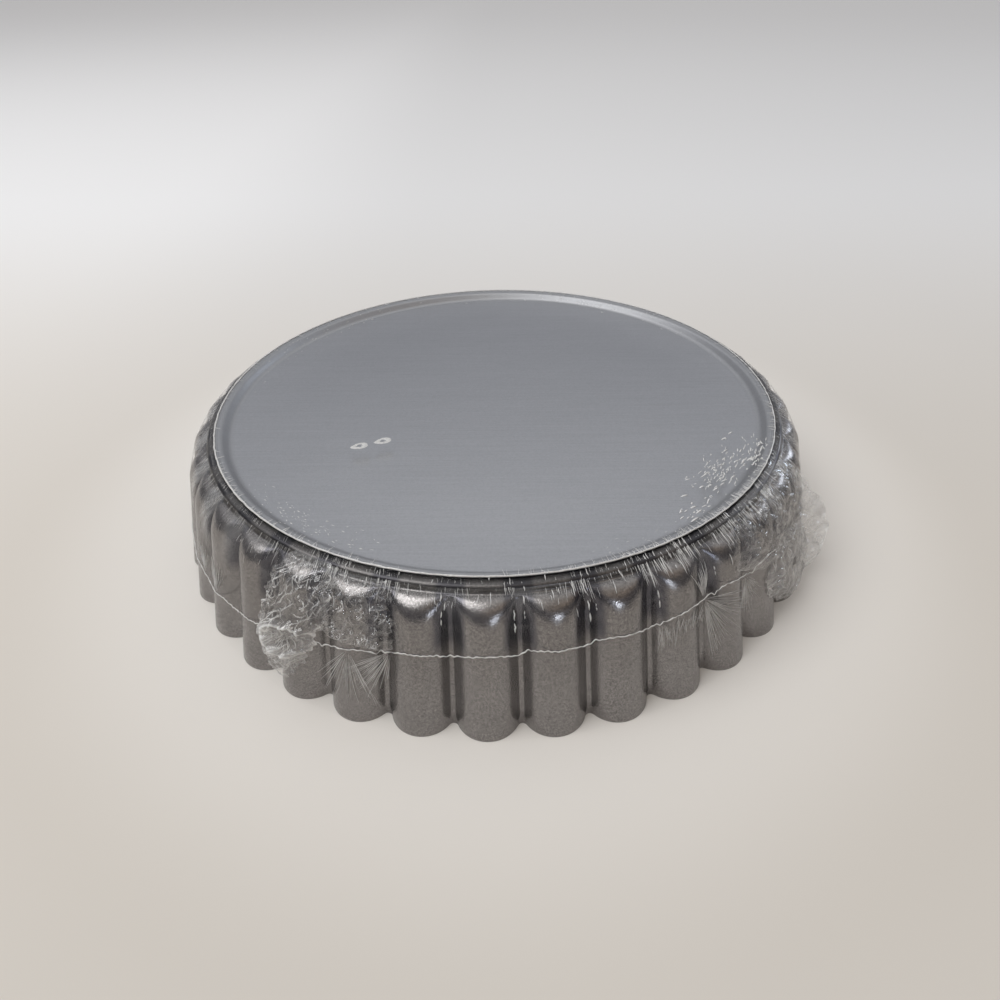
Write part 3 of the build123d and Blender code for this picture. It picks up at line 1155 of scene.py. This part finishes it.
class QUICHE_TIN_OT_film_ears(bpy.types.Operator):
    """Make the crumpled ends of the film that stand off the wall"""

    bl_idname = "quiche_tin.film_ears"
    bl_label = "Film ears"

    def execute(self, context):
        surface = film_surface(context.scene)
        points, faces, haze = [], [], []
        for patch in (*POUCHES.values(), None):
            spots, shares = web(surface) if patch is None else pouch(surface, *patch)
            rows, columns = shares.shape
            first = len(points)
            points.extend(spots.reshape(-1, 3))
            haze.extend(shares.ravel())
            faces += [tuple(first + v for v in face) for face in grid_faces(rows, columns)]
        ears = mesh_from("film_ears", points, faces)
        set_shares(ears, haze=haze)
        ears.data.materials.append(film_material("crumpled_film", 0.985, 0.085, wrinkle=0.5))
        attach(ears, "ring")
        return {"FINISHED"}


class QUICHE_TIN_OT_film_cover(bpy.types.Operator):
    """Make the film over the base, its specks and its two vent holes"""

    bl_idname = "quiche_tin.film_cover"
    bl_label = "Film over the base"

    def execute(self, context):
        scene = context.scene
        film = scene.quiche_tin_film
        radius = scene.quiche_tin_base.radius
        height = BASE_TOP + film.gap
        # Each vent's distance from the axis, its angle round the tin and its turn, in degrees
        vents = [(0.0605, FRONT - 52.6, 18.0), (0.0525, FRONT - 49.8, 22.0)]
        cover = film_disc("film_cover", radius, height, vents, film)
        cover.data.materials.append(film_material("clear_film_cover", 0.99, 0.075, wrinkle=0.12))
        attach(cover, "base")

        material = film_material("gathered_film_cover", 0.97, 0.2, wrinkle=0.4)
        lines, widths = speck_lines(film, height, radius)
        specks = lines_object("film_specks", lines, widths)
        grown(specks, fold_tree(), {"Sides": 3, "Thickness": 0.0002, "Material": material})
        set_white(specks, 1.0)
        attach(specks, "base")

        count = 720
        turn = np.linspace(0, 2 * pi, count, endpoint=False)
        edge = radius + 0.00004 + 0.00006 * waves(np.degrees(turn), 21, 8, 30, 200)
        line = np.column_stack([edge * np.sin(turn), -edge * np.cos(turn), np.full(count, height)])
        width = 1.2 + 0.35 * np.sin(turn + 2.6) + 0.2 * waves(np.degrees(turn), 22, 9, 20, 240)
        fold = lines_object("film_rim", [line], [np.clip(width, 0.5, 1.8)], closed=True)
        grown(fold, fold_tree(), {"Sides": 5, "Thickness": 0.00022, "Material": material})
        set_white(fold, 0.8)
        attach(fold, "base")

        rims = mesh_from("film_vent_rims", *vent_rims(vents, film, height))
        rims.data.materials.append(
            film_material("melted_film", 0.97, 0.2, wrinkle=0.4, glow=0.45))
        set_white(rims, 1.0)
        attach(rims, "base")
        return {"FINISHED"}


def film_surface(scene):
    """The film round the tin at the scene's sizes."""
    return FilmSurface(scene.quiche_tin_sizes, scene.quiche_tin_base, scene.quiche_tin_film.gap)


def vent_outline(vent, film, count, grow=1.0, ragged=0.0, seed=0):
    """Points round one vent hole, on the film over the base."""
    reach, angle, tilt = vent
    turn = np.linspace(0, 2 * pi, count, endpoint=False)
    noise = np.tile(np.random.default_rng(seed).normal(0, 1, count), 3)
    rough = grow * (1 + ragged * np.convolve(noise, np.ones(3) / 3, "same")[count:-count])
    along = 0.5 * film.vent_length * np.cos(turn) * rough
    across = 0.5 * film.vent_width * np.sin(turn) * rough * (1 + 0.3 * np.cos(turn))
    a, t = radians(angle), radians(tilt)
    return np.column_stack([
        reach * sin(a) + along * cos(t) - across * sin(t),
        -reach * cos(a) + along * sin(t) + across * cos(t)])


def vent_rims(vents, film, height):
    """The melted, ragged rims of the vent holes: points and faces."""
    points, faces = [], []
    count, bands = 56, 7
    for number, vent in enumerate(vents):
        outer = vent_outline(vent, film, count, 1.0, 0.05, seed=50 + number)
        inner = vent_outline(vent, film, count, 0.36, 0.45, seed=60 + number)
        bumps = np.random.default_rng(70 + number).uniform(0.4, 1.0, (bands, count))
        for band in range(bands):
            share = band / (bands - 1)
            flat = outer + (inner - outer) * share
            lift = 0.00035 * sin(pi * share) * bumps[band]
            points.extend(np.column_stack([flat, height + 0.00002 + lift]))
        first = number * bands * count
        faces += [
            tuple(first + v for v in (
                band * count + i, band * count + (i + 1) % count,
                (band + 1) * count + (i + 1) % count, (band + 1) * count + i))
            for band in range(bands - 1) for i in range(count)]
    return points, faces


def film_disc(name, radius, height, vents, film):
    """The flat film over the base, with its vent holes."""
    mesh = bmesh.new()
    loops = []
    turn = np.linspace(0, 2 * pi, 360, endpoint=False)
    rim = np.column_stack([radius * 0.999 * np.cos(turn), radius * 0.999 * np.sin(turn)])
    for outline in [rim] + [vent_outline(vent, film, 40, 0.8) for vent in vents]:
        points = [mesh.verts.new((x, y, height)) for x, y in outline]
        following = points[1:] + points[:1]
        loops.append([mesh.edges.new(pair) for pair in zip(points, following)])
    bmesh.ops.triangle_fill(mesh, edges=[e for loop in loops for e in loop], use_beauty=True)
    bmesh.ops.recalc_face_normals(mesh, faces=mesh.faces)
    if sum(face.normal.z for face in mesh.faces) < 0:
        bmesh.ops.reverse_faces(mesh, faces=mesh.faces)
    data = bpy.data.meshes.new(name)
    mesh.to_mesh(data)
    mesh.free()
    piece = bpy.data.objects.new(name, data)
    bpy.context.scene.collection.objects.link(piece)
    return piece


class QUICHE_TIN_OT_stage(bpy.types.Operator):
    """Make the floor, the lights and the camera"""

    bl_idname = "quiche_tin.stage"
    bl_label = "Stage"

    def execute(self, context):
        stage = context.scene.quiche_tin_stage
        make_floor(stage)
        make_lights(stage)
        make_world(stage)
        make_camera(stage)
        context.scene.view_settings.view_transform = "Standard"
        return {"FINISHED"}


def make_floor(stage):
    """A wide pale floor with painted light, a little lighter behind, at the left, far off and close
    to the tin.
    """
    reach = 12.0
    floor = mesh_from(
        "floor", [(-reach, -reach, 0), (reach, -reach, 0), (reach, reach, 0), (-reach, reach, 0)],
        [(0, 1, 2, 3)], smooth=False)
    material, w = new_material("pale_floor")
    place = w.add("ShaderNodeTexCoord").outputs["Object"]
    soft = w.noise(place, 5.0, 3.0, 0.5)
    near = w.between(soft, shaded(stage.floor, 0.97), shaded(stage.floor, 1.03))
    axes = w.add("ShaderNodeSeparateXYZ", {0: place}).outputs
    # Painted light: the floor is lighter at the back and towards the left, where more light falls.
    away = w.smooth(axes["Y"], -0.1, 0.5)
    side = w.smooth(axes["X"], -0.05, -0.35)
    back = w.between(side, stage.floor_back_lit, shaded(stage.floor_back_lit, 1.13))
    near = w.between(side, near, shaded(stage.floor, 1.09))
    colour = w.between(away, near, back)
    # Painted light: far off, the floor is made paler so it does not dim with distance.
    far = w.add(
        "ShaderNodeMapRange",
        {"Value": axes["Y"], "From Min": 0.8, "From Max": 4.0}).outputs["Result"]
    colour = w.between(far, colour, (0.95, 0.95, 0.95))
    # Painted light: a pool of light painted on the floor close round the tin.
    ring = w.add("ShaderNodeVectorMath", {0: place}, operation="LENGTH").outputs["Value"]
    close = w.smooth(ring, 0.2, 0.12, 0.5)
    colour = w.between(close, colour, (0.95, 0.93, 0.9))
    shader = w.add("ShaderNodeBsdfPrincipled", {"Base Color": colour, "Roughness": 0.9})
    floor.data.materials.append(close_material(material, w, shader.outputs["BSDF"]))


def make_lights(stage):
    """A softbox overhead and two small lamps, which show in reflections and light nothing matt."""
    for name, power, width, place in (
            ("softbox", stage.softbox, 2.0, (-1.1, -0.55, 2.1)),
            ("window", stage.window, 0.16, (0.62, -1.5, 0.3)),
            ("side_window", stage.side_window, 0.5, (1.54, 1.08, 0.7))):
        data = bpy.data.lights.new(name, "AREA")
        data.shape = "DISK"
        data.size = width
        data.energy = power
        data.color = (1, 1, 1) if name == "softbox" else (0.8, 0.88, 1)
        lamp = bpy.data.objects.new(name, data)
        lamp.location = place
        lamp.visible_diffuse = name == "softbox"
        lamp.rotation_mode = "QUATERNION"
        lamp.rotation_quaternion = (-Vector(place)).to_track_quat("-Z", "Y")
        bpy.context.scene.collection.objects.link(lamp)


def make_world(stage):
    """A studio round the tin, dark low down in front and at the sides, the same for every ray."""
    world = bpy.data.worlds.new("studio")
    world.use_nodes = True
    world.node_tree.nodes.clear()
    w = Wiring(world.node_tree)
    heading = w.add("ShaderNodeTexCoord").outputs["Generated"]
    split = w.add("ShaderNodeSeparateXYZ", {0: heading}).outputs
    left = w.ramp(split["Z"], [
        (0.0, (0.12, 0.12, 0.13)), (0.25, (0.045, 0.042, 0.06)), (0.5, (0.1, 0.1, 0.11)),
        (0.68, (0.42, 0.42, 0.42)), (0.9, (0.55, 0.55, 0.55))])
    right = w.ramp(split["Z"], [
        (0.0, (0.12, 0.115, 0.12)), (0.25, (0.05, 0.043, 0.06)), (0.5, (0.14, 0.11, 0.09)),
        (0.68, (0.45, 0.35, 0.27)), (0.9, (0.55, 0.5, 0.45))])
    turn = w.smooth(split["X"], -0.3, 0.3)
    front = w.between(turn, left, right)
    back = w.ramp(split["Z"], [
        (0.0, (0.5, 0.5, 0.52)), (0.4, (0.34, 0.35, 0.385)), (0.72, (0.82, 0.83, 0.86)),
        (0.9, (0.8, 0.8, 0.8))])
    side = w.smooth(split["Y"], -0.35, 0.35)
    sky = w.between(side, front, back)
    aside = w.smooth(w.math("ABSOLUTE", split["X"]), 0.6, 0.85, 0.85)
    low = w.smooth(split["Z"], 0.62, 0.42)
    sky = w.between(w.math("MULTIPLY", aside, low), sky, (0.05, 0.05, 0.06))
    light = w.add("ShaderNodeBackground", {"Color": sky, "Strength": stage.sky})
    w.add("ShaderNodeOutputWorld", {"Surface": light.outputs[0]})
    bpy.context.scene.world = world


def make_camera(stage):
    """The camera at the photograph's place and angle."""
    data = bpy.data.cameras.new("camera")
    data.sensor_width = 36.0
    data.lens = stage.lens
    data.clip_start = 0.01
    data.clip_end = 100.0
    camera = bpy.data.objects.new("camera", data)
    a, e = stage.azimuth, stage.elevation
    back = Vector((sin(a) * cos(e), -cos(a) * cos(e), sin(e)))
    right = Vector((cos(a), sin(a), 0))
    up = back.cross(right)
    looking = Matrix((right, up, back)).transposed()
    tilt = (
        Matrix.Rotation(stage.tilt[2], 3, "Z") @ Matrix.Rotation(stage.tilt[1], 3, "Y")
        @ Matrix.Rotation(stage.tilt[0], 3, "X"))
    camera.matrix_world = (looking @ tilt.transposed()).to_4x4()
    camera.location = back * stage.distance
    bpy.context.scene.collection.objects.link(camera)
    bpy.context.scene.camera = camera


class QUICHE_TIN_PT_panel(bpy.types.Panel):
    """Sizes, colours and pieces of the quiche tin"""

    bl_label = "Quiche tin"
    bl_idname = "QUICHE_TIN_PT_panel"
    bl_space_type = "VIEW_3D"
    bl_region_type = "UI"
    bl_category = "Quiche tin"

    def draw(self, context):
        for group in GROUPS:
            box = self.layout.box()
            box.label(text=group)
            settings = getattr(context.scene, group)
            for name in settings.__annotations__:
                box.prop(settings, name)
        for operator in OPERATORS:
            self.layout.operator(operator.bl_idname)


GROUPS = {
    "quiche_tin_sizes": TinSizes,
    "quiche_tin_base": BaseSizes,
    "quiche_tin_film": FilmSizes,
    "quiche_tin_finishes": Finishes,
    "quiche_tin_stage": StageSettings,
}
OPERATORS = (
    QUICHE_TIN_OT_stage, QUICHE_TIN_OT_ring, QUICHE_TIN_OT_base, QUICHE_TIN_OT_film_skirt,
    QUICHE_TIN_OT_film_folds, QUICHE_TIN_OT_film_ears, QUICHE_TIN_OT_film_cover)


def register():
    for kind in (*GROUPS.values(), *OPERATORS, QUICHE_TIN_PT_panel):
        bpy.utils.register_class(kind)
    for name, kind in GROUPS.items():
        setattr(bpy.types.Scene, name, PointerProperty(type=kind))


def unregister():
    for name in GROUPS:
        delattr(bpy.types.Scene, name)
    for kind in (QUICHE_TIN_PT_panel, *reversed(OPERATORS), *reversed(GROUPS.values())):
        bpy.utils.unregister_class(kind)


def main():
    """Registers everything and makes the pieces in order."""
    register()
    bpy.ops.quiche_tin.stage()
    bpy.ops.quiche_tin.ring()
    bpy.ops.quiche_tin.base()
    bpy.ops.quiche_tin.film_skirt()
    bpy.ops.quiche_tin.film_folds()
    bpy.ops.quiche_tin.film_ears()
    bpy.ops.quiche_tin.film_cover()


if __name__ == "__main__":
    main()
